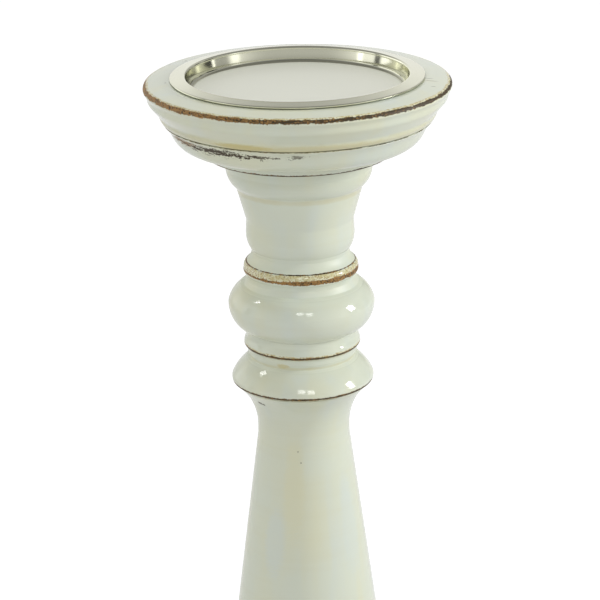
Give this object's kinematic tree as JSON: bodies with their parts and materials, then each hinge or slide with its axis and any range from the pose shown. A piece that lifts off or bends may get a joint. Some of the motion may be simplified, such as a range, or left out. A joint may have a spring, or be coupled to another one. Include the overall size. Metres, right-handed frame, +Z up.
{
  "type": "pillar candlestick",
  "caption": "Tall turned-wood pillar candlestick with a wide moulded dish, lift-out metal candle pan, baluster stem on a tie rod, and a round plinth foot.",
  "frame": {"origin": "centre of the felt pad's underside, on the table", "axes": "+Z up along the turning axis, -Y towards the viewer"},
  "size_m": [0.13, 0.13, 0.381],
  "materials": {
    "painted_wood": "glossy pale sage-ivory enamel over brown wood, worn through along the turned edges",
    "pan_metal": "pressed and polished, warm grey",
    "steel_hardware": "zinc plated",
    "felt": "matt felt"
  },
  "bodies": {
    "stand": {"dish_rim": "painted_wood", "dish_cushion": "painted_wood", "neck": "painted_wood", "upper_collar": "painted_wood", "bulb": "painted_wood", "middle_collar": "painted_wood", "knop": "painted_wood", "shaft": "painted_wood", "lower_collar": "painted_wood", "ankle": "painted_wood", "foot": "painted_wood", "plinth": "painted_wood", "tie_rod": "steel_hardware", "top_washer": "steel_hardware", "top_nut": "steel_hardware", "bottom_washer": "steel_hardware", "bottom_lock_washer": "steel_hardware", "bottom_nut": "steel_hardware", "felt_pad": "felt"},
    "pan": {"candle_pan": "pan_metal"}
  },
  "joints": [
    {"name": "pan_lift", "type": "slide", "parent": "stand", "child": "pan", "axis": [0, 0, 1], "range_m": [0, 0.04]}
  ]
}
